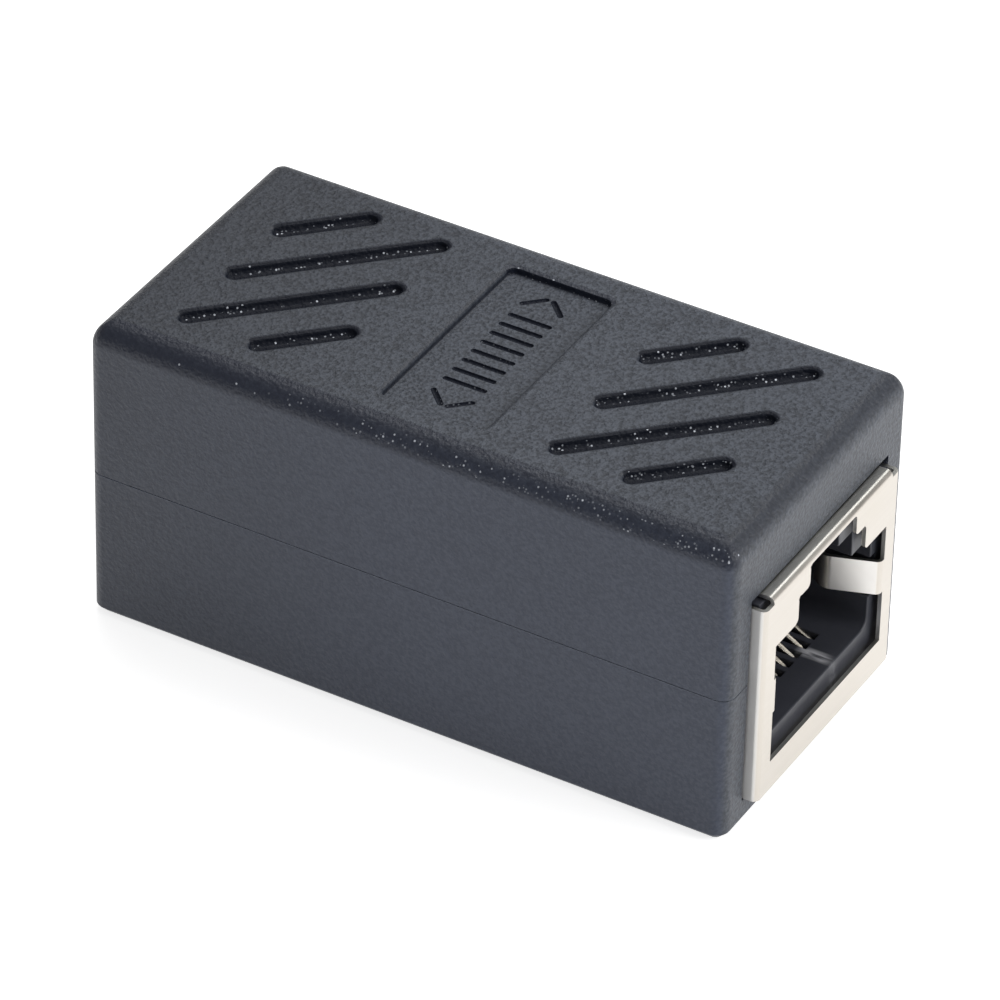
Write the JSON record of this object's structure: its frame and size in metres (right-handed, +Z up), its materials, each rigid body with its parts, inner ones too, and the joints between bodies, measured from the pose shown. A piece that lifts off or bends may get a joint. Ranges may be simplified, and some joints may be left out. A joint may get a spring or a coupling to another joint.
{
  "type": "inline network coupler",
  "caption": "Shielded inline coupler: a moulded two-shell box with a latching modular socket in each end, joined by a circuit board.",
  "frame": {"origin": "centre of the base, on the surface that it stands on", "axes": "+X runs the length of the box, out of one socket; +Z up, the side of the plug's latch"},
  "size_m": [0.0438, 0.0208, 0.0204],
  "materials": {
    "shell_plastic": "finely spark-textured matte black",
    "jack_plastic": "satin black",
    "plated_steel": "bright plated sheet",
    "contact_metal": "plated spring wire",
    "board": "satin laminate"
  },
  "bodies": {
    "root": {"top_shell": "shell_plastic", "bottom_shell": "shell_plastic", "circuit_board": "board", "right_shield": "plated_steel", "right_rear_cover": "plated_steel", "right_housing": "jack_plastic", "right_contact_carrier": "jack_plastic", "right_contact_1": "contact_metal", "right_contact_2": "contact_metal", "right_contact_3": "contact_metal", "right_contact_4": "contact_metal", "right_contact_5": "contact_metal", "right_contact_6": "contact_metal", "right_contact_7": "contact_metal", "right_contact_8": "contact_metal", "left_shield": "plated_steel", "left_rear_cover": "plated_steel", "left_housing": "jack_plastic", "left_contact_carrier": "jack_plastic", "left_contact_1": "contact_metal", "left_contact_2": "contact_metal", "left_contact_3": "contact_metal", "left_contact_4": "contact_metal", "left_contact_5": "contact_metal", "left_contact_6": "contact_metal", "left_contact_7": "contact_metal", "left_contact_8": "contact_metal"}
  },
  "joints": []
}
